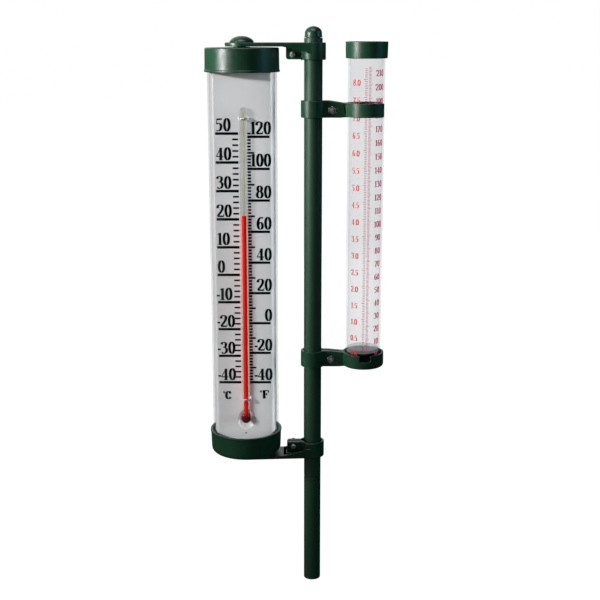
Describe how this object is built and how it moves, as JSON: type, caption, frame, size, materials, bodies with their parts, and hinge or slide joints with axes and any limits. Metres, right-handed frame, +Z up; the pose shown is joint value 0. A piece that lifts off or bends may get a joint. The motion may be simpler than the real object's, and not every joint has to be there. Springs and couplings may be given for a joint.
{
  "type": "manual rain gauge",
  "caption": "Clear graduated rain tube and a tubular thermometer, each held by split clamp collars on a sectional garden pole.",
  "frame": {"origin": "centre of the pole's lower end, where it plugs onto the next pole section or its ground stake", "axes": "+Z up along the pole, +X from the pole to the rain tube, -X from the pole to the thermometer, -Y towards the reader"},
  "size_m": [0.1342, 0.0556, 0.4331],
  "materials": {
    "green_plastic": "dark green moulded plastic, glossy",
    "clear_plastic": "clear moulded plastic, polished",
    "white_plate": "white printed sheet, satin",
    "clear_glass": "clear glass",
    "red_spirit": "dyed spirit",
    "steel": "plain zinc plated steel"
  },
  "bodies": {
    "pole": {"pole_cap": "green_plastic", "pole_upper": "green_plastic", "pole_coupler": "green_plastic", "pole_lower": "green_plastic"},
    "thermometer_arms": {"thermometer_upper_bracket": "green_plastic", "thermometer_upper_clamp_screw": "steel", "thermometer_upper_clamp_nut": "steel", "thermometer_lower_bracket": "green_plastic", "thermometer_lower_clamp_screw": "steel", "thermometer_lower_clamp_nut": "steel"},
    "thermometer": {"thermometer_tube": "clear_plastic", "thermometer_top_cap": "green_plastic", "thermometer_bottom_cap": "green_plastic", "upper_pivot_button": "green_plastic", "lower_pivot_button": "green_plastic", "scale_plate": "white_plate", "capillary_glass": "clear_glass", "spirit_column": "red_spirit", "lower_capillary_clip": "steel", "upper_capillary_clip": "steel"},
    "gauge_brackets": {"gauge_upper_bracket": "green_plastic", "gauge_upper_clamp_screw": "steel", "gauge_upper_clamp_nut": "steel", "gauge_lower_bracket": "green_plastic", "gauge_lower_clamp_screw": "steel", "gauge_lower_clamp_nut": "steel"},
    "gauge": {"gauge_tube": "clear_plastic", "gauge_collar": "green_plastic"}
  },
  "joints": [
    {"name": "thermometer_swing", "type": "hinge", "parent": "pole", "child": "thermometer_arms", "pos_m": [0, 0, 0.26315], "axis": [0, 0, 1], "range_deg": [-60, 60]},
    {"name": "thermometer_swivel", "type": "hinge", "parent": "thermometer_arms", "child": "thermometer", "pos_m": [-0.0519, 0, 0.26315], "axis": [0, 0, 1], "continuous": true},
    {"name": "gauge_swing", "type": "hinge", "parent": "pole", "child": "gauge_brackets", "pos_m": [0, 0, 0.2793], "axis": [0, 0, 1], "range_deg": [-55, 55]},
    {"name": "gauge_lift", "type": "slide", "parent": "gauge_brackets", "child": "gauge", "axis": [0, 0, 1], "range_m": [0, 0.205]}
  ]
}
